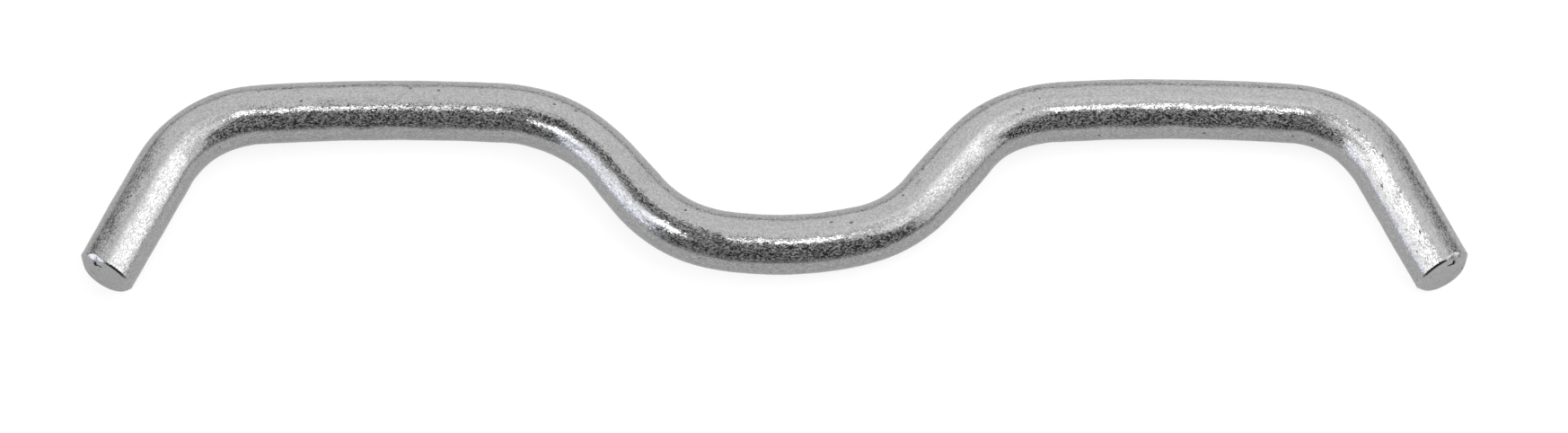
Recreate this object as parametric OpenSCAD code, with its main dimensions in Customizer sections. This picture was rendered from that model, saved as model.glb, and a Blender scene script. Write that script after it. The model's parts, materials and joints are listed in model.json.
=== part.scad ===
// Trampoline w-hook: one length of round steel wire, bent in one plane and cut off square at both ends.
// It lies flat on z = 0 with its legs towards -y, and the origin is there, under the middle of its outline.
// The two halves were bent one after the other and differ a little, so each has its own sizes.

/* [Wire] */
// Diameter of the wire
wire_d = 6; // [4:0.1:7]
// How much the wire is drawn thinner in a tight bend, on its radius
bend_thinning = 0.02; // [0.01:0.01:0.1]
// Radius of the edge that the cutter rolls over at each end
end_round = 0.45; // [0.1:0.05:1]

/* [Saddle] */
// Radius of the shallow saddle in the middle, as all radii here to the wire's centre
saddle_r = 35.5; // [25:0.5:60]
// Sweep of the saddle to the left of its lowest point, in degrees
left_saddle_sweep = 9.3; // [4:0.1:14]
// Sweep of the saddle to the right of its lowest point, in degrees
right_saddle_sweep = 13.5; // [4:0.1:18]

/* [Left half] */
// Radius of the bend from the saddle up to the flank
left_throat_r = 13.2; // [9:0.1:18]
// Slope of the straight flank beside the saddle, in degrees
left_flank_angle = 51.5; // [40:0.5:65]
// Length of the straight flank
left_flank_len = 4.6; // [2:0.1:12]
// Radius of the bend from the flank over to the arm
left_shoulder_r = 15.1; // [9:0.1:18]
// Length of the arm, along its bow
left_arm_len = 24.7; // [15:0.1:40]
// Slope at which the arm still rises where it leaves the shoulder, in degrees
left_arm_rise = 3.1; // [1:0.1:6]
// Slope at which the arm falls away where it meets the corner, in degrees
left_arm_fall = 4; // [1:0.1:6]

/* [Right half] */
// Radius of the bend from the saddle up to the flank
right_throat_r = 12.1; // [9:0.1:18]
// Slope of the straight flank beside the saddle, in degrees
right_flank_angle = 50.5; // [40:0.5:65]
// Length of the straight flank
right_flank_len = 6.6; // [2:0.1:12]
// Radius of the bend from the flank over to the arm
right_shoulder_r = 12.3; // [9:0.1:18]
// Length of the arm, along its bow
right_arm_len = 24; // [15:0.1:40]
// Slope at which the arm still rises where it leaves the shoulder, in degrees
right_arm_rise = 3.8; // [1:0.1:6]
// Slope at which the arm falls away where it meets the corner, in degrees
right_arm_fall = 4.3; // [1:0.1:6]

/* [Legs] */
// Radius of the bend from an arm down to its leg
corner_r = 11; // [8:0.1:18]
// Slope of a leg, in degrees below the line of the arms
leg_angle = 64; // [45:0.5:85]
// Length of a straight leg to its cut end
leg_len = 12.7; // [6:0.1:25]

/* [Hidden] */
$fn = 96;

wire_r = wire_d / 2;
// Radius of the wire's section in a tight bend
bend_section_r = wire_r - bend_thinning;
// How far a tight bend runs on inside the fuller wire at each of its ends
bend_lap = 0.05 * wire_d;
// Steps in the rolled edge of a cut end, in degrees
round_step = 15;

// Radius at which an arm of a given length turns from its rise to its fall
function bow_r(arm_len, rise, fall) = arm_len / ((rise + fall) * PI / 180);

// A run of wire is [kind, radius, sweep, length]. A positive sweep turns to the left, in degrees.
function tight_bend(radius, sweep) = ["tight", radius, sweep, 0];
function shallow_bend(radius, sweep) = ["shallow", radius, sweep, 0];
function straight(length) = ["straight", 0, 0, length];
function cut_leg(length) = ["leg", 0, 0, length];

// The runs of one half, from the end of its saddle out to its cut end
function half_runs(saddle_sweep, throat_r, flank_angle, flank_len, shoulder_r, arm_len, rise, fall) = [
    tight_bend(throat_r, flank_angle - saddle_sweep),
    straight(flank_len),
    tight_bend(shoulder_r, rise - flank_angle),
    shallow_bend(bow_r(arm_len, rise, fall), -rise - fall),
    tight_bend(corner_r, fall - leg_angle),
    cut_leg(leg_len)
];

left_runs = half_runs(
    left_saddle_sweep, left_throat_r, left_flank_angle, left_flank_len,
    left_shoulder_r, left_arm_len, left_arm_rise, left_arm_fall
);
right_runs = half_runs(
    right_saddle_sweep, right_throat_r, right_flank_angle, right_flank_len,
    right_shoulder_r, right_arm_len, right_arm_rise, right_arm_fall
);

// A pose is [x, y, heading] of the wire's centre. The saddle's lowest point is at [0, 0, 0].
function after_bend(pose, radius, sweep) =
    let (turn = sign(sweep), heading = pose[2] + sweep)
    [
        pose[0] + turn * radius * (sin(heading) - sin(pose[2])),
        pose[1] - turn * radius * (cos(heading) - cos(pose[2])),
        heading
    ];
function after_straight(pose, length) =
    [pose[0] + length * cos(pose[2]), pose[1] + length * sin(pose[2]), pose[2]];
function after_run(pose, run) =
    run[1] > 0 ? after_bend(pose, run[1], run[2]) : after_straight(pose, run[3]);
function pose_before(runs, index, start) =
    index == 0 ? start : after_run(pose_before(runs, index - 1, start), runs[index - 1]);

left_start = after_bend([0, 0, 0], saddle_r, left_saddle_sweep);
right_start = after_bend([0, 0, 0], saddle_r, right_saddle_sweep);

// Highest point of an arm's centre line, where its bow turns over
arm_index = 3;
function arm_top(runs, start, rise) =
    pose_before(runs, arm_index, start)[1] + runs[arm_index][1] * (1 - cos(rise));
left_top = arm_top(left_runs, left_start, left_arm_rise);
right_top = arm_top(right_runs, right_start, right_arm_rise);

// Centre of each leg's cut face, and the reach of that end towards -y, with its edge rolled over
left_tip = pose_before(left_runs, len(left_runs), left_start);
right_tip = pose_before(right_runs, len(right_runs), right_start);
tip_reach = (wire_r - end_round) * cos(leg_angle) - end_round * sin(leg_angle) + end_round;

// Middle of the outline, seen from above
top_y = max(left_top, right_top) + wire_r;
bottom_y = min(left_tip[1] - tip_reach, right_tip[1] - tip_reach, -wire_r);
middle_x = (right_tip[0] - left_tip[0]) / 2;
middle_y = (top_y + bottom_y) / 2;

// Wire of a given section that starts at the origin along +x and bends there, running on by lap at both ends
module bent_wire(radius, sweep, section_r, lap) {
    lap_angle = lap / radius * 180 / PI;
    translate([0, sign(sweep) * radius, 0])
        rotate([0, 0, -sign(sweep) * 90 + min(sweep, 0) - lap_angle])
            rotate_extrude(angle = abs(sweep) + 2 * lap_angle)
                translate([radius, 0])
                    circle(r = section_r);
}

module straight_wire(length) {
    rotate([0, 90, 0])
        cylinder(r = wire_r, h = length);
}

// Straight leg along +x, turned as one profile with the rolled edge of its cut end
module leg_wire(length) {
    rolled_edge = [
        for (a = [0 : round_step : 90])
            [wire_r - end_round * (1 - cos(a)), length - end_round * (1 - sin(a))]
    ];
    rotate([0, 90, 0])
        rotate_extrude()
            polygon(concat([[0, 0], [wire_r, 0]], rolled_edge, [[0, length]]));
}

module run_of_wire(run) {
    if (run[0] == "tight") bent_wire(run[1], run[2], bend_section_r, bend_lap);
    if (run[0] == "shallow") bent_wire(run[1], run[2], wire_r, 0);
    if (run[0] == "straight") straight_wire(run[3]);
    if (run[0] == "leg") leg_wire(run[3]);
}

module half(runs, start) {
    for (index = [0 : len(runs) - 1]) {
        pose = pose_before(runs, index, start);
        translate([pose[0], pose[1], 0])
            rotate([0, 0, pose[2]])
                run_of_wire(runs[index]);
    }
}

// The shallow saddle, as one bend through its lowest point
module saddle() {
    translate([-left_start[0], left_start[1], 0])
        rotate([0, 0, -left_saddle_sweep])
            bent_wire(saddle_r, left_saddle_sweep + right_saddle_sweep, wire_r, 0);
}

module w_hook() {
    color("silver")
        translate([-middle_x, -middle_y, wire_r])
            union() {
                saddle();
                half(right_runs, right_start);
                mirror([1, 0, 0]) half(left_runs, left_start);
            }
}

w_hook();
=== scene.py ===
"""Looks of the trampoline w-hook: a fine mesh of its wire, its finish, and the floor, lamps and camera."""
import json
import math

import bpy
import numpy as np
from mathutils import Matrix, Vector


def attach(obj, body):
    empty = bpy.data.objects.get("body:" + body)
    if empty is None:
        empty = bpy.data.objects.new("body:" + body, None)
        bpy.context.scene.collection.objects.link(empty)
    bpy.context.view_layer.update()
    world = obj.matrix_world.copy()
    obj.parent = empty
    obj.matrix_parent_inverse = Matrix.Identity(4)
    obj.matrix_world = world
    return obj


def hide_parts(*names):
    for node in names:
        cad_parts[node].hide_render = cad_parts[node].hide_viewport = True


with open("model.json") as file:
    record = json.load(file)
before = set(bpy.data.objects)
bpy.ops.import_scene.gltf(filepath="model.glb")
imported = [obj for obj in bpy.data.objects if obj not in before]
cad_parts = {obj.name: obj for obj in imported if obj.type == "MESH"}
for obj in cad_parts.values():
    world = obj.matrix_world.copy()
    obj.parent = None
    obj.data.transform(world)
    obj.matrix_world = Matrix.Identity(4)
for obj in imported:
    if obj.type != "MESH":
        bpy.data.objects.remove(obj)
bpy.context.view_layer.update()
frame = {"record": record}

MM = 0.001

# Elevation of the photograph's view, in degrees
VIEW_ELEVATION = 65.5

# Sizes of the wire in millimetres and degrees, as in the part's source. Bends are measured to its centre.
WIRE_R = 3.0
BEND_THINNING = 0.02
SADDLE_R = 35.5
CORNER_R = 11.0
LEG_ANGLE = 64.0
LEG_LEN = 12.7
LEFT = {
    "saddle_sweep": 9.3,
    "throat_r": 13.2,
    "flank_angle": 51.5,
    "flank_len": 4.6,
    "shoulder_r": 15.1,
    "arm_len": 24.7,
    "arm_rise": 3.1,
    "arm_fall": 4.0,
}
RIGHT = {
    "saddle_sweep": 13.5,
    "throat_r": 12.1,
    "flank_angle": 50.5,
    "flank_len": 6.6,
    "shoulder_r": 12.3,
    "arm_len": 24.0,
    "arm_rise": 3.8,
    "arm_fall": 4.3,
}

# Fineness of the wire's mesh: sides of each ring, distance between rings, length of an end with rings of its
# own, and the rings along that end's collar, over its rolled edge and across its face
SIDES = 112
RING_STEP = 0.25
END_ZONE = 1.2
COLLAR_RINGS = 20
ROLLED_RINGS = 9
FACE_RINGS = 56
# Rings of one end that the cutter touched, without the middle of the face
CAP_RINGS = ROLLED_RINGS + FACE_RINGS - 1
# Rings over which the section narrows where a tight bend begins
BLEND_RINGS = 7


# Centre line of the wire

def half_runs(half):
    """Runs of one half out from the saddle's lowest point: length, sweep in degrees and whether tight."""

    def bend(radius, sweep, tight):
        return radius * math.radians(abs(sweep)), sweep, tight

    return [
        bend(SADDLE_R, half["saddle_sweep"], False),
        bend(half["throat_r"], half["flank_angle"] - half["saddle_sweep"], True),
        (half["flank_len"], 0.0, False),
        bend(half["shoulder_r"], half["arm_rise"] - half["flank_angle"], True),
        (half["arm_len"], -half["arm_rise"] - half["arm_fall"], False),
        bend(CORNER_R, half["arm_fall"] - LEG_ANGLE, True),
        (LEG_LEN, 0.0, False),
    ]


def half_length(half):
    return sum(length for length, _, _ in half_runs(half))


LEFT_LEN = half_length(LEFT)
RIGHT_LEN = half_length(RIGHT)


def trace_half(half, distances):
    """Place, heading and tightness of one half at distances from the saddle's lowest point, towards +X."""
    places = np.zeros((len(distances), 2))
    headings = np.zeros(len(distances))
    tightness = np.zeros(len(distances))
    start = np.zeros(2)
    start_heading = 0.0
    begin = 0.0
    for length, sweep, tight in half_runs(half):
        end = begin + length
        here = distances >= begin
        along = np.append(np.minimum(distances[here], end) - begin, length)
        turned = math.radians(sweep) * along / length
        # The chord of an arc is shorter than the arc by the sinc of half its turn
        chord = along * np.sinc(turned / (2 * math.pi))
        chord_heading = start_heading + turned / 2
        steps = chord[:, None] * np.stack([np.cos(chord_heading), np.sin(chord_heading)], axis=1)
        places[here] = start + steps[:-1]
        headings[here] = start_heading + turned[:-1]
        tightness[here] = 1.0 if tight else 0.0
        start = start + steps[-1]
        start_heading += math.radians(sweep)
        begin = end
    return places, headings, tightness


def trace_wire(along):
    """Place, heading and tightness at distances from the saddle's lowest point, negative to its left."""
    left = along < 0
    places, headings, tightness = trace_half(RIGHT, np.abs(along))
    left_places, left_headings, left_tightness = trace_half(LEFT, np.abs(along))
    places[left] = left_places[left] * np.array([-1.0, 1.0])
    headings[left] = -left_headings[left]
    tightness[left] = left_tightness[left]
    return places, headings, tightness


def saddle_place():
    """Middle of the wire at the saddle's lowest point in millimetres, which the record gives as a mount."""
    mounts = {mount["name"]: mount for mount in frame["record"]["mounts"]}
    return np.array(mounts["saddle"]["pos_m"]) / MM


# Form of the wire's surface

# Angles round the wire, in degrees: 0 on its +Y or outer side, 90 on top, 180 on its -Y or inner side.
# The upper and lower edge are those of its outline in the photograph.
UNDERSIDE = 270.0
UPPER_EDGE = 90.0 - VIEW_ELEVATION
LOWER_EDGE = UPPER_EDGE + 180.0

# Marks that bending and handling left: distance from the saddle's lowest point, angle round the wire,
# length, spread in degrees, and depth, which is negative where the wire stands proud
BEND_MARKS = [
    (-21.8, UPPER_EDGE, 3.2, 40, 0.16),
    (-21.8, LOWER_EDGE, 2.6, 40, 0.13),
    (11.2, LOWER_EDGE, 3.6, 45, 0.12),
    (26.2, LOWER_EDGE, 2.2, 40, 0.19),
    (66.7, LOWER_EDGE, 2.6, 50, -0.14),
    (-72.0, UPPER_EDGE, 5.0, 60, -0.10),
    (75.0, LOWER_EDGE, 4.5, 60, -0.10),
    (38.0, UPPER_EDGE, 4.0, 50, -0.08),
    (18.7, UPPER_EDGE, 2.5, 50, -0.08),
    (22.6, UPPER_EDGE + 6, 0.22, 8, 0.12),
]

# Slight unevenness of drawn wire: waves of different length along it, with so many lobes round it at most,
# and their steepness
WAVE_SEED = 7
WAVE_COUNT = 40
WAVE_SHORTEST = 1.6
WAVE_LONGEST = 9.0
WAVE_LOBES = 9
WAVE_SLOPE = 0.0022


def bell(distance, spread):
    return np.exp(-0.5 * (distance / spread) ** 2)


def angle_between(angles, middle):
    return (angles - middle + 180.0) % 360.0 - 180.0


def unevenness(along, angles):
    """Small smooth waves on the surface, the same on each run."""
    random = np.random.default_rng(WAVE_SEED)
    height = np.zeros((len(along), len(angles)))
    for _ in range(WAVE_COUNT):
        wave_len = math.exp(random.uniform(math.log(WAVE_SHORTEST), math.log(WAVE_LONGEST)))
        lobes = random.integers(-WAVE_LOBES, WAVE_LOBES + 1)
        phase = random.uniform(0, 360)
        turns = 360.0 * along[:, None] / wave_len + lobes * angles[None, :] + phase
        height += WAVE_SLOPE * wave_len / (2 * math.pi) * np.cos(np.radians(turns))
    return height


def surface_radius(along, angles, tightness):
    """Radius of the wire at each ring and side."""
    radius = WIRE_R - BEND_THINNING * tightness[:, None] + unevenness(along, angles)
    for place, angle, length, spread, depth in BEND_MARKS:
        lengthwise = bell(along - place, length)
        crosswise = bell(angle_between(angles, angle), spread)
        radius -= depth * lengthwise[:, None] * crosswise[None, :]
    # Nothing reaches below the surface that the wire lies on
    downward = -np.sin(np.radians(angles))
    no_limit = np.full_like(angles, np.inf)
    limit = np.divide(WIRE_R, downward, out=no_limit, where=downward > 0)
    return np.minimum(radius, limit)


# Cut ends

# The edge that the cutter rolled over: its width along the wire and in the face, and how much it is a flat
# chamfer and not round
ROLL_BACK = 0.18
ROLL_IN = 0.18
ROLL_FLATNESS = 0.88
# Where it is wider: angle round the wire, spread in degrees, and added width along the wire and in the face
ROLL_SPOTS = [
    (68, 9, 0.30, 0.21),
    (355, 35, 0.46, 0.46),
    (225, 35, 0.25, 0.25),
]
# How far the face falls back from its middle to its edge
FACE_CROWN = 0.06
# How far the face leans out, and the angle round the wire that it leans away from
FACE_LEAN = 0.42
FACE_LEAN_FROM = 45.0
# Marks in the face: outward and upward place of both ends of a groove, its half width there, and the slope of
# its flanks
FACE_GROOVES = [
    ((0.93, 1.42), (0.93, 2.05), 0.17, 0.17, 1.2),
    ((0.93, 1.52), (0.30, 1.64), 0.22, 0.14, 1.2),
    ((1.45, -0.35), (1.00, -0.70), 0.15, 0.15, 0.08),
    ((0.65, -1.75), (0.20, -1.95), 0.18, 0.14, 0.08),
]
# Depth from which painted shade fills a mark: the deep marks of a cut face are darkened to stand in for the
# shade in them
PAINTED_SHADE_DEPTH = 0.03


def groove_depth(outward, upward):
    """How deep the marks are in a cut face."""
    deepest = np.zeros_like(outward)
    for first, second, first_half, second_half, slope in FACE_GROOVES:
        run = np.subtract(second, first)
        share = ((outward - first[0]) * run[0] + (upward - first[1]) * run[1]) / np.dot(run, run)
        share = np.clip(share, 0.0, 1.0)
        off = np.hypot(outward - first[0] - share * run[0], upward - first[1] - share * run[1])
        half = first_half + share * (second_half - first_half)
        deepest = np.maximum(deepest, slope * (half - off))
    return deepest


def face_depth(outward, upward):
    """How far a cut face lies behind a square cut."""
    crown = FACE_CROWN * (outward ** 2 + upward ** 2) / WIRE_R ** 2
    turn = math.radians(FACE_LEAN_FROM)
    lean = FACE_LEAN * (1 - (outward * math.cos(turn) + upward * math.sin(turn)) / WIRE_R) / 2
    return crown - lean + groove_depth(outward, upward)


def end_profile(collar_radius, angles):
    """Set-back from the cut plane and radius of an end's rings, from its collar to the middle of its face."""
    roll_back = np.full_like(angles, ROLL_BACK)
    roll_in = np.full_like(angles, ROLL_IN)
    for angle, spread, added_back, added_in in ROLL_SPOTS:
        share = bell(angle_between(angles, angle), spread)
        roll_back += added_back * share
        roll_in += added_in * share
    set_back = []
    radius = []
    for share in np.linspace(0, 1, COLLAR_RINGS + 1)[:-1]:
        set_back.append(END_ZONE + share * (roll_back - END_ZONE))
        radius.append(collar_radius)
    for share in np.linspace(0, 1, ROLLED_RINGS):
        turn = share * math.pi / 2
        inset = ROLL_FLATNESS * share + (1 - ROLL_FLATNESS) * (1 - math.cos(turn))
        back = ROLL_FLATNESS * (1 - share) + (1 - ROLL_FLATNESS) * (1 - math.sin(turn))
        set_back.append(roll_back * back)
        radius.append(collar_radius - roll_in * inset)
    for share in np.linspace(0, 1, FACE_RINGS + 1)[1:-1]:
        set_back.append(np.zeros_like(angles))
        radius.append((collar_radius - roll_in) * (1 - share))
    return np.array(set_back), np.array(radius)


# Mesh of the wire

def section_places(radius, angles):
    """Outward and upward distance of points round the wire from its centre."""
    return radius * np.cos(np.radians(angles)), radius * np.sin(np.radians(angles))


def ring_points(places, headings, radius, angles):
    """Points of rings in millimetres, by the rings' places and headings and the radius at each side."""
    outward, upward = section_places(radius, angles)
    sideways = np.stack([-np.sin(headings), np.cos(headings)], axis=-1)
    flat = places + outward[..., None] * sideways
    return np.concatenate([flat, upward[..., None]], axis=-1)


def end_place(tip_along, way, depth):
    """Places behind an end's square cut, and its heading. The way is 1 on the right and -1 on the left."""
    tips, headings, _ = trace_wire(np.array([tip_along]))
    forward = np.array([math.cos(headings[0]), math.sin(headings[0])])
    return tips[0] - way * depth[..., None] * forward, headings[0]


def end_rings(collar_radius, angles, tip_along, way):
    """Points of an end's rings from its collar on, their places on the straightened wire, and painted shade.
    """
    back, radius = end_profile(collar_radius, angles)
    outward, upward = section_places(radius, angles)
    on_face = back <= 0
    # The rolled edge keeps to the face that it runs into
    rim = face_depth(outward[-FACE_RINGS], upward[-FACE_RINGS])
    on_edge = back + rim * np.clip(1 - back / END_ZONE, 0, 1)
    depth = np.where(on_face, face_depth(outward, upward), on_edge)
    places, heading = end_place(tip_along, way, depth)
    points = ring_points(places, heading, radius, angles)
    straightened = np.stack([tip_along - way * depth, outward, upward], axis=-1)
    # Painted shade: the deep parts of the face's marks get a darker colour for the shade in them
    painted_shade = np.where(on_face, np.clip(groove_depth(outward, upward) / PAINTED_SHADE_DEPTH, 0, 1), 0.0)
    return points, straightened, painted_shade


def end_middle(tip_along, way):
    """The point in the middle of a cut face, and its place on the straightened wire."""
    depth = face_depth(np.zeros(1), np.zeros(1))
    places, _ = end_place(tip_along, way, depth)
    return [*places[0], 0.0], [tip_along - way * depth[0], 0.0, 0.0]


def wire_rings():
    """Points of all rings from left to right, their places on the straightened wire, and painted shade."""
    angles = UNDERSIDE + np.arange(SIDES) * 360.0 / SIDES
    body_len = LEFT_LEN + RIGHT_LEN - 2 * END_ZONE
    body_count = round(body_len / RING_STEP) + 1
    along = np.linspace(END_ZONE - LEFT_LEN, RIGHT_LEN - END_ZONE, body_count)
    places, headings, tightness = trace_wire(along)
    blend = np.hanning(BLEND_RINGS)
    padded = np.pad(tightness, BLEND_RINGS // 2, mode="edge")
    tightness = np.convolve(padded, blend / blend.sum(), mode="valid")
    radius = surface_radius(along, angles, tightness)

    points = ring_points(places[:, None, :], headings[:, None], radius, angles)
    outward, upward = section_places(radius, angles)
    straightened = np.stack([np.broadcast_to(along[:, None], radius.shape), outward, upward], axis=-1)
    body = (points, straightened, np.zeros(radius.shape))
    left = end_rings(radius[0], angles, -LEFT_LEN, -1)
    right = end_rings(radius[-1], angles, RIGHT_LEN, 1)
    return [
        np.concatenate([of_left[::-1], of_body[1:-1], of_right])
        for of_left, of_body, of_right in zip(left, body, right)
    ]


def face_corners(ring_count):
    """Corners of each face as ring and side. Rings -1 and ring_count are the middles of the cut faces."""
    last = ring_count - 1
    for ring in range(last):
        for side in range(SIDES):
            yield (ring, side), (ring + 1, side), (ring + 1, side + 1), (ring, side + 1)
    for side in range(SIDES):
        yield (-1, side), (0, side), (0, side + 1)
        yield (last + 1, side), (last, side + 1), (last, side)


def vertex_number(ring, side, ring_count):
    """Number of a corner's vertex. The middles of the left and the right cut face come last."""
    if ring < 0:
        return ring_count * SIDES
    if ring == ring_count:
        return ring_count * SIDES + 1
    return ring * SIDES + side % SIDES


# The map for baking lays the wire out in rows, with the two caps beside them. Its sizes are in millimetres.
MAP_SIDE = 64.0
MAP_ROWS = 3
MAP_GAP = 1.0
CAP_REACH = 3.4


def baking_map(ring_along):
    """A function that maps a face's corner, by the first ring of the face and the corner's ring and side."""
    girth = 2 * math.pi * WIRE_R
    ring_count = len(ring_along)
    first = CAP_RINGS
    last = ring_count - 1 - CAP_RINGS
    row_rings = math.ceil((last - first) / MAP_ROWS)

    def on_row(face_ring, ring, side):
        row = (face_ring - first) // row_rings
        start = ring_along[first + row * row_rings]
        return (
            (MAP_GAP + ring_along[ring] - start) / MAP_SIDE,
            (MAP_GAP + row * (girth + MAP_GAP) + girth * side / SIDES) / MAP_SIDE,
        )

    def on_cap(cap, steps, side):
        turn = 2 * math.pi * side / SIDES
        reach = CAP_REACH * steps / (CAP_RINGS + 1)
        middle_x = MAP_SIDE - MAP_GAP - CAP_REACH
        middle_y = MAP_GAP + CAP_REACH + cap * (2 * CAP_REACH + MAP_GAP)
        return (
            (middle_x + reach * math.cos(turn)) / MAP_SIDE,
            (middle_y + reach * math.sin(turn)) / MAP_SIDE,
        )

    def map_of(face_ring, ring, side):
        if face_ring < first:
            return on_cap(0, ring + 1, side)
        if face_ring >= last:
            return on_cap(1, ring_count - ring, side)
        return on_row(face_ring, ring, side)

    return map_of


def wire_faces(ring_along):
    """Vertices of each face, and the place of each of its corners on the map for baking."""
    map_of = baking_map(ring_along)
    faces = []
    maps = []
    for corners in face_corners(len(ring_along)):
        first_ring = min(ring for ring, _ in corners)
        faces.append([vertex_number(ring, side, len(ring_along)) for ring, side in corners])
        maps.extend(map_of(first_ring, ring, side) for ring, side in corners)
    return faces, maps


def add_attribute(mesh, name, kind, field, values):
    layer = mesh.attributes.new(name, kind, "POINT")
    layer.data.foreach_set(field, values.astype(np.float32).ravel())


def build_wire():
    """The whole wire as one closed mesh, with its places on the straightened wire and its map for baking."""
    points, straightened, painted_shade = wire_rings()
    left_middle, left_straightened = end_middle(-LEFT_LEN, -1)
    right_middle, right_straightened = end_middle(RIGHT_LEN, 1)
    vertices = np.concatenate([points.reshape(-1, 3), [left_middle, right_middle]])
    vertices = (vertices + saddle_place()) * MM
    vertex_places = np.concatenate([straightened.reshape(-1, 3), [left_straightened, right_straightened]])
    ring_cut = np.zeros(len(points))
    ring_cut[:CAP_RINGS] = 1.0
    ring_cut[-CAP_RINGS:] = 1.0
    faces, maps = wire_faces(straightened[:, 0, 0])

    mesh = bpy.data.meshes.new("wire")
    mesh.from_pydata(vertices.tolist(), [], faces)
    add_attribute(mesh, "wire_place", "FLOAT_VECTOR", "vector", vertex_places)
    add_attribute(mesh, "cut", "FLOAT", "value", np.append(np.repeat(ring_cut, SIDES), [1.0, 1.0]))
    # Painted shade for the deep marks of the cut faces
    add_attribute(mesh, "painted_shade", "FLOAT", "value", np.append(painted_shade, [0.0, 0.0]))
    mesh.uv_layers.new(name="OFBake").data.foreach_set("uv", np.array(maps, dtype=np.float32).ravel())
    mesh.polygons.foreach_set("use_smooth", np.ones(len(faces), dtype=bool))
    mesh.update()
    wire = bpy.data.objects.new("wire", mesh)
    bpy.context.scene.collection.objects.link(wire)
    return wire


# Shader nodes

def add_node(tree, kind, **settings):
    node = tree.nodes.new(kind)
    for name, value in settings.items():
        setattr(node, name, value)
    return node


def feed(tree, socket, value):
    """Links an output to a socket, or sets a constant there."""
    if isinstance(value, bpy.types.NodeSocket):
        tree.links.new(value, socket)
    else:
        socket.default_value = value


def math_node(tree, operation, *values):
    """A step of arithmetic."""
    made = add_node(tree, "ShaderNodeMath", operation=operation)
    for socket, value in zip(made.inputs, values):
        feed(tree, socket, value)
    return made.outputs["Value"]


def vector_node(tree, operation, *values, output="Vector"):
    """A step of vector arithmetic."""
    made = add_node(tree, "ShaderNodeVectorMath", operation=operation)
    for socket, value in zip(made.inputs, values):
        feed(tree, socket, value)
    return made.outputs[output]


def dot_node(tree, vector, axis):
    return vector_node(tree, "DOT_PRODUCT", vector, axis, output="Value")


def grey(level):
    return (level, level, level, 1.0)


def ramp(tree, value, stops):
    """Grey levels over a value, each stop as position and level."""
    made = add_node(tree, "ShaderNodeValToRGB")
    elements = made.color_ramp.elements
    while len(elements) < len(stops):
        elements.new(0.5)
    for element, (position, level) in zip(elements, stops):
        element.position = position
        element.color = grey(level)
    tree.links.new(value, made.inputs["Fac"])
    return made.outputs["Color"]


def bump(tree, height, distance, before=None):
    """A bump of a height in metres, on top of another."""
    made = add_node(tree, "ShaderNodeBump")
    made.inputs["Strength"].default_value = 1.0
    made.inputs["Distance"].default_value = distance
    tree.links.new(height, made.inputs["Height"])
    if before is not None:
        tree.links.new(before, made.inputs["Normal"])
    return made.outputs["Normal"]


# Zinc finish, over the straightened wire, with features per millimetre along it, outward and upward

# Crystals of the plating, how far they tilt, and their tones and roughness
CRYSTALS = (6.0, 11.0, 11.0)
CRYSTAL_TILT = 0.07
CRYSTAL_TONES = ((0.0, 0.28), (1.0, 0.42))
CRYSTAL_ROUGHNESS = ((0.0, 0.08), (1.0, 0.25))
# How metallic a crystal is: the rest of its surface is a matt haze
CRYSTAL_METAL = ((0.40, 1.0), (0.50, 0.75), (1.0, 0.15))
# Ripples of the plating and lines from drawing the wire, with heights in metres
RIPPLES = (2.6, 6.0, 6.0)
RIPPLE_DETAIL = 2.0
RIPPLE_HEIGHT = 1.0e-5
DRAWING_LINES = (0.12, 4.5, 4.5)
DRAWING_DETAIL = 3.0
DRAWING_DEPTH = 0.8e-5
DRAWING_TONES = ((0.30, 0.90), (0.70, 1.0))
NOISE_ROUGHNESS = 0.6
# Sparse pits
PITS = (0.55, 0.7, 0.7)
PIT_EDGE = ((0.06, 0.0), (0.11, 1.0))
PIT_DEPTH = 4.0e-5
PIT_TONES = ((0.0, 0.35), (1.0, 1.0))
# Painted shade in the marks of the cut faces, which darkens them where shade falls
PAINTED_SHADE_TONES = ((0.0, 1.0), (1.0, 0.06))
# Tint of the gloss, which on metal shows at a grazing angle
GLOSS_TINT = 0.75


def wire_attribute(tree, name):
    return add_node(tree, "ShaderNodeAttribute", attribute_name=name).outputs


def noise(tree, place, per_mm, detail):
    made = add_node(tree, "ShaderNodeTexNoise")
    made.inputs["Scale"].default_value = 1.0
    made.inputs["Detail"].default_value = detail
    made.inputs["Roughness"].default_value = NOISE_ROUGHNESS
    tree.links.new(vector_node(tree, "MULTIPLY", place, per_mm), made.inputs["Vector"])
    return made.outputs["Fac"]


def cells(tree, place, per_mm):
    """Cells over the wire: a random colour for each, and the distance from its middle."""
    made = add_node(tree, "ShaderNodeTexVoronoi")
    made.inputs["Scale"].default_value = 1.0
    tree.links.new(vector_node(tree, "MULTIPLY", place, per_mm), made.inputs["Vector"])
    return made.outputs


def crystal_tilt(tree, colors, normal):
    """Tilts the surface a little on most crystals and much more on a few."""
    from_middle = vector_node(tree, "SUBTRACT", colors, (0.5, 0.5, 0.5))
    both_ways = vector_node(tree, "MULTIPLY", from_middle, (2.0, 2.0, 2.0))
    squared = vector_node(tree, "MULTIPLY", both_ways, both_ways)
    cubed = vector_node(tree, "MULTIPLY", squared, both_ways)
    offset = vector_node(tree, "MULTIPLY", cubed, (CRYSTAL_TILT, CRYSTAL_TILT, CRYSTAL_TILT))
    return vector_node(tree, "NORMALIZE", vector_node(tree, "ADD", normal, offset))


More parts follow.
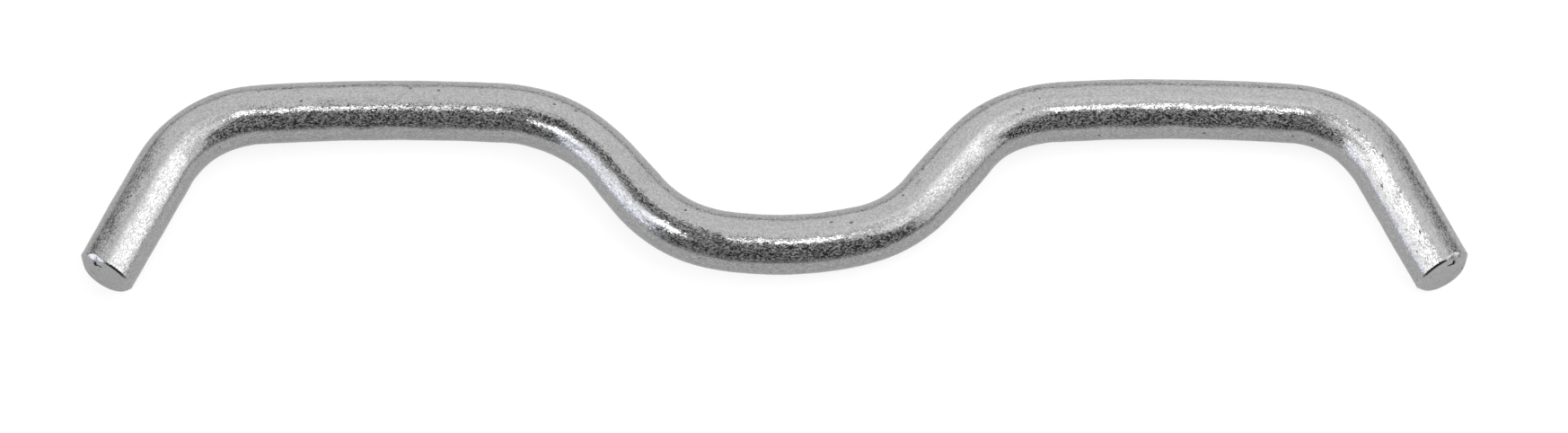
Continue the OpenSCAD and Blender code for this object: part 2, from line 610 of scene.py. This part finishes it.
def zinc_material():
    material = bpy.data.materials.new("zinc_plated_wire")
    material.use_nodes = True
    tree = material.node_tree
    shader = tree.nodes["Principled BSDF"]
    place = wire_attribute(tree, "wire_place")["Vector"]

    drawing = noise(tree, place, DRAWING_LINES, DRAWING_DETAIL)
    ripple = noise(tree, place, RIPPLES, RIPPLE_DETAIL)
    # 1 on the plain surface, falling to 0 in the pits
    pitted = ramp(tree, cells(tree, place, PITS)["Distance"], PIT_EDGE)
    normal = bump(tree, ripple, RIPPLE_HEIGHT)
    normal = bump(tree, drawing, DRAWING_DEPTH, normal)
    normal = bump(tree, pitted, PIT_DEPTH, normal)

    # Each crystal's random colour gives its tilt, and its three channels give its haze, tone and roughness
    colors = cells(tree, place, CRYSTALS)["Color"]
    tree.links.new(crystal_tilt(tree, colors, normal), shader.inputs["Normal"])
    numbers = add_node(tree, "ShaderNodeSeparateColor")
    tree.links.new(colors, numbers.inputs["Color"])
    tone = ramp(tree, numbers.outputs["Green"], CRYSTAL_TONES)
    tone = vector_node(tree, "MULTIPLY", tone, ramp(tree, drawing, DRAWING_TONES))
    tone = vector_node(tree, "MULTIPLY", tone, ramp(tree, pitted, PIT_TONES))
    # Painted shade darkens the deep marks of the cut faces
    tone = vector_node(tree, "MULTIPLY", tone, ramp(tree, wire_attribute(tree, "painted_shade")["Fac"], PAINTED_SHADE_TONES))
    tree.links.new(tone, shader.inputs["Base Color"])
    tree.links.new(ramp(tree, numbers.outputs["Blue"], CRYSTAL_ROUGHNESS), shader.inputs["Roughness"])
    # The cut ends have no haze
    metal = ramp(tree, numbers.outputs["Red"], CRYSTAL_METAL)
    metal = math_node(tree, "MAXIMUM", metal, wire_attribute(tree, "cut")["Fac"])
    tree.links.new(metal, shader.inputs["Metallic"])
    shader.inputs["Specular Tint"].default_value = grey(GLOSS_TINT)
    return material


# Lamps. Their angles are in degrees, and an azimuth runs from +Y towards +X.

WHITE = (1.0, 1.0, 1.0)
BLUISH = (0.9, 0.95, 1.15)
WARM = (1.25, 1.06, 0.6)
# Radiance of the studio between its lamps
ROOM = 0.05
# Far lamps of the studio. A softness is how far an edge fades out to either side. Where they overlap, the
# brightest is seen. The first is a round lamp, high on the right.
ROUND_LAMP = {
    "azimuth": 112, "elevation": 60,
    "radius": 18, "softness": 12,
    "radiance": 2.3,
}
# A panel lies at an azimuth and an elevation, from which its lower and upper edge are measured. Its upper end
# leans to the right by an angle.
PANELS = [
    # Line of light along the arms and the dip
    {
        "azimuth": 176, "elevation": 76.3, "lean": 0,
        "half_width": 4.5, "side_softness": 1.0,
        "lower": -3.9, "upper": 3.9, "edge_softness": 1.0,
        "radiance": 12.0,
    },
    # Wall behind
    {
        "azimuth": -1, "elevation": 0, "lean": 0,
        "half_width": 40, "side_softness": 14,
        "lower": 6, "upper": 90, "edge_softness": 1.0,
        "radiance": 1.42,
    },
    # Strip up the middle of that wall, to just past the top
    {
        "azimuth": -1, "elevation": 60, "lean": 0,
        "half_width": 9, "side_softness": 3,
        "lower": -30, "upper": 33, "edge_softness": 1.0,
        "radiance": 1.42,
    },
    # Wall on the left
    {
        "azimuth": -106, "elevation": 0, "lean": 10,
        "half_width": 23, "side_softness": 6,
        "lower": -15, "upper": 50, "edge_softness": 8,
        "radiance": 1.55,
    },
    # Bright panel on the right, for the left leg
    {
        "azimuth": 82, "elevation": 47, "lean": -26,
        "half_width": 12.5, "side_softness": 16,
        "lower": -40, "upper": 38, "edge_softness": 28,
        "radiance": 4.2,
    },
    # Wall on the right
    {
        "azimuth": 108, "elevation": 0, "lean": -10,
        "half_width": 23, "side_softness": 6,
        "lower": 4, "upper": 60, "edge_softness": 3,
        "radiance": 1.55,
    },
]
# Near lamps for the left flank, with sizes and places in millimetres and the spread of the beam
NEAR_LAMPS = [
    # Bright round lamp with a narrow beam
    {
        "shape": "ELLIPSE", "width": 54.0, "height": 54.0, "spread": 32.0,
        "place": (-118.0, -87.0, 139.0), "aim": (-16.0, 0.0, 3.0),
        "radiance": 9.0, "tint": WHITE,
    },
    # Large bluish panel with a wide beam
    {
        "shape": "RECTANGLE", "width": 142.0, "height": 262.0, "spread": 120.0,
        "place": (-209.0, -77.0, 131.0), "aim": (-16.0, 0.0, 131.0),
        "radiance": 1.15, "tint": BLUISH,
    },
]
# Small lamps with narrow beams round the right end: azimuth and elevation as seen from there, radiance and
# tint
RIGHT_END_LAMPS = [
    (-40, 67, 4.2, WHITE),
    (-63, 63, 6.0, WHITE),
    (-76, 55, 7.0, WHITE),
    (-85, 45, 4.6, WHITE),
    (-89, 34, 1.7, WHITE),
    (-92, 23, 0.5, WARM),
    (-100, 33, 0.5, WARM),
    (-103, 20, 0.5, WARM),
    (-110, 42, 0.5, WARM),
    (-85, 71, 3.2, WHITE),
    (-93, 61, 3.6, WHITE),
    (-110, 58, 2.6, WHITE),
    (-114, 72, 2.6, WHITE),
    (-128, 62, 2.0, WHITE),
    (-134, 51, 1.6, WHITE),
]
# Where they aim, how far off they are and how wide, in millimetres, and the spread of their beams
RIGHT_END = (60.0, -3.0, 3.0)
RIGHT_END_DISTANCE = 250.0
RIGHT_END_WIDTH = 48.0
RIGHT_END_SPREAD = 24.0
# Power of a flat lamp for its area and radiance
LAMP_POWER = 4.0


def direction(azimuth, elevation):
    turn = math.radians(azimuth)
    rise = math.radians(elevation)
    return Vector((math.sin(turn) * math.cos(rise), math.cos(turn) * math.cos(rise), math.sin(rise)))


def soft_edge(tree, angle, half, softness):
    """1 well inside an angle from a lamp's middle, 0 well outside."""
    made = add_node(tree, "ShaderNodeMapRange", interpolation_type="SMOOTHSTEP")
    made.inputs["From Min"].default_value = math.radians(half - softness)
    made.inputs["From Max"].default_value = math.radians(half + softness)
    made.inputs["To Min"].default_value = 1.0
    made.inputs["To Max"].default_value = 0.0
    tree.links.new(angle, made.inputs["Value"])
    return made.outputs["Result"]


def round_share(tree, looking, lamp):
    """How much of a round lamp is seen in a direction."""
    middle = direction(lamp["azimuth"], lamp["elevation"])
    off_middle = math_node(tree, "ARCCOSINE", dot_node(tree, looking, middle))
    return soft_edge(tree, off_middle, lamp["radius"], lamp["softness"])


def panel_sides(panel):
    """The directions to the right and up across a panel."""
    right = direction(panel["azimuth"] + 90, 0)
    up = direction(panel["azimuth"], panel["elevation"] + 90)
    turn = math.radians(panel["lean"])
    return (
        math.cos(turn) * right - math.sin(turn) * up,
        math.cos(turn) * up + math.sin(turn) * right,
    )


def panel_share(tree, looking, panel):
    """How much of a panel is seen in a direction."""
    towards = dot_node(tree, looking, direction(panel["azimuth"], panel["elevation"]))
    right, up = panel_sides(panel)
    aside = math_node(tree, "ARCTAN2", dot_node(tree, looking, right), towards)
    above = math_node(tree, "ARCTAN2", dot_node(tree, looking, up), towards)
    middle = (panel["lower"] + panel["upper"]) / 2
    half_height = (panel["upper"] - panel["lower"]) / 2
    off_side = math_node(tree, "ABSOLUTE", aside)
    off_middle = math_node(tree, "ABSOLUTE", math_node(tree, "SUBTRACT", above, math.radians(middle)))
    across = soft_edge(tree, off_side, panel["half_width"], panel["side_softness"])
    along = soft_edge(tree, off_middle, half_height, panel["edge_softness"])
    return math_node(tree, "MULTIPLY", across, along)


def add_light(tree, total, share, radiance):
    """Covers the light so far with a white lamp, where the lamp is brighter."""
    lamp = vector_node(tree, "MULTIPLY", share, (radiance, radiance, radiance))
    return vector_node(tree, "MAXIMUM", total, lamp)


def add_studio():
    """The far lamps, as light from all round by its direction."""
    world = bpy.data.worlds.new("studio")
    world.use_nodes = True
    tree = world.node_tree
    looking = add_node(tree, "ShaderNodeTexCoord").outputs["Generated"]
    total = (ROOM, ROOM, ROOM)
    total = add_light(tree, total, round_share(tree, looking, ROUND_LAMP), ROUND_LAMP["radiance"])
    for panel in PANELS:
        total = add_light(tree, total, panel_share(tree, looking, panel), panel["radiance"])
    tree.links.new(total, tree.nodes["Background"].inputs["Color"])
    bpy.context.scene.world = world


def add_near_lamp(shape, width, height, spread, place, aim, radiance, tint):
    light = bpy.data.lights.new("near_lamp", "AREA")
    light.shape = shape
    light.size = width * MM
    light.size_y = height * MM
    light.spread = math.radians(spread)
    light.color = tint
    area = light.size * light.size_y
    if shape == "ELLIPSE":
        area *= math.pi / 4
    # A narrower beam is brighter in its middle
    half = light.spread / 2
    gain = math.tan(half) / (math.tan(half) - half)
    light.energy = LAMP_POWER * area * radiance / gain
    lamp = bpy.data.objects.new("near_lamp", light)
    lamp.location = Vector(place) * MM
    lamp.rotation_euler = (Vector(aim) - Vector(place)).to_track_quat("-Z", "Y").to_euler()
    lamp.visible_camera = False
    bpy.context.scene.collection.objects.link(lamp)


def add_lamps():
    add_studio()
    for lamp in NEAR_LAMPS:
        add_near_lamp(**lamp)
    for azimuth, elevation, radiance, tint in RIGHT_END_LAMPS:
        add_near_lamp(
            shape="ELLIPSE",
            width=RIGHT_END_WIDTH,
            height=RIGHT_END_WIDTH,
            spread=RIGHT_END_SPREAD,
            place=Vector(RIGHT_END) + RIGHT_END_DISTANCE * direction(azimuth, elevation),
            aim=RIGHT_END,
            radiance=radiance,
            tint=tint,
        )


# Floor: its radius, how far it is flat and how far its rim rises, in metres
FLOOR_R = 3.0
FLOOR_FLAT_R = 1.2
FLOOR_RIM_RISE = 0.13
FLOOR_SIDES = 96
FLOOR_STEPS = 24
# Its colour in the light, and the glow that makes it white
FLOOR_DIFFUSE = 0.20
FLOOR_GLOW = 0.84
# The pale sheet that the hook lies on: its middle, and half its size along X and Y, in metres
SHEET_MIDDLE = (0.0, 0.065, 0.0)
SHEET_HALF = (0.120, 0.095)


def floor_mesh():
    """A wide disc that turns up gently towards its rim, so that a low view still ends on it."""
    vertices = [(0.0, 0.0, 0.0)]
    faces = []
    for step in range(1, FLOOR_STEPS + 1):
        radius = FLOOR_R * step / FLOOR_STEPS
        share = max(0.0, (radius - FLOOR_FLAT_R) / (FLOOR_R - FLOOR_FLAT_R))
        height = FLOOR_RIM_RISE * share ** 2
        for side in range(FLOOR_SIDES):
            turn = 2 * math.pi * side / FLOOR_SIDES
            vertices.append((radius * math.cos(turn), radius * math.sin(turn), height))
    for side in range(FLOOR_SIDES):
        faces.append((0, 1 + side, 1 + (side + 1) % FLOOR_SIDES))
    for step in range(FLOOR_STEPS - 1):
        inner = 1 + step * FLOOR_SIDES
        outer = inner + FLOOR_SIDES
        for side in range(FLOOR_SIDES):
            following = (side + 1) % FLOOR_SIDES
            faces.append((inner + side, outer + side, outer + following, inner + following))
    mesh = bpy.data.meshes.new("floor")
    mesh.from_pydata(vertices, [], faces)
    mesh.polygons.foreach_set("use_smooth", np.ones(len(faces), dtype=bool))
    return mesh


def sheet_share(tree):
    """1 on the pale sheet under the hook, 0 beyond its edges."""
    position = add_node(tree, "ShaderNodeNewGeometry").outputs["Position"]
    off_middle = vector_node(tree, "ABSOLUTE", vector_node(tree, "SUBTRACT", position, SHEET_MIDDLE))
    axes = add_node(tree, "ShaderNodeSeparateXYZ")
    tree.links.new(off_middle, axes.inputs["Vector"])
    inside = [
        math_node(tree, "LESS_THAN", axes.outputs[axis], half)
        for axis, half in zip("XY", SHEET_HALF)
    ]
    return math_node(tree, "MULTIPLY", *inside)


def floor_material():
    """White to the camera, and to the metal as far as the pale sheet goes, with the hook's shadow kept."""
    material = bpy.data.materials.new("pale_floor")
    material.use_nodes = True
    tree = material.node_tree
    tree.nodes.remove(tree.nodes["Principled BSDF"])
    path = add_node(tree, "ShaderNodeLightPath").outputs
    reflected = math_node(tree, "MAXIMUM", path["Is Glossy Ray"], path["Is Transmission Ray"])
    reflected = math_node(tree, "MULTIPLY", reflected, sheet_share(tree))
    seen = math_node(tree, "MAXIMUM", path["Is Camera Ray"], reflected)
    glow = add_node(tree, "ShaderNodeEmission")
    tree.links.new(math_node(tree, "MULTIPLY", seen, FLOOR_GLOW), glow.inputs["Strength"])
    diffuse = add_node(tree, "ShaderNodeBsdfDiffuse")
    diffuse.inputs["Color"].default_value = grey(FLOOR_DIFFUSE)
    both = add_node(tree, "ShaderNodeAddShader")
    tree.links.new(diffuse.outputs["BSDF"], both.inputs[0])
    tree.links.new(glow.outputs["Emission"], both.inputs[1])
    tree.links.new(both.outputs["Shader"], tree.nodes["Material Output"].inputs["Surface"])
    return material


def add_floor():
    mesh = floor_mesh()
    mesh.materials.append(floor_material())
    floor = bpy.data.objects.new("floor", mesh)
    bpy.context.scene.collection.objects.link(floor)


# Camera at the photograph's viewing angle: its distance in metres, and where it looks in millimetres
VIEW_DISTANCE = 0.7
VIEW_AIM = (0.94249, -3.69514, 3.0)
# Width and scale of the photograph in pixels, and the width of the camera's sensor in millimetres
IMAGE_WIDTH = 1746
PIXELS_PER_MM = 11.1311
SENSOR = 36.0


def add_camera():
    data = bpy.data.cameras.new("camera")
    data.sensor_width = SENSOR
    focal_pixels = PIXELS_PER_MM * VIEW_DISTANCE / MM
    data.lens = SENSOR * focal_pixels / IMAGE_WIDTH
    camera = bpy.data.objects.new("camera", data)
    back = direction(180, VIEW_ELEVATION)
    camera.location = Vector(VIEW_AIM) * MM + VIEW_DISTANCE * back
    camera.rotation_euler = (-back).to_track_quat("-Z", "Y").to_euler()
    bpy.context.scene.collection.objects.link(camera)
    bpy.context.scene.camera = camera


add_camera()
add_lamps()
add_floor()

wire = build_wire()
wire.data.materials.append(zinc_material())
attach(wire, "root")
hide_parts("w_hook")

bpy.context.scene.view_settings.view_transform = "Standard"
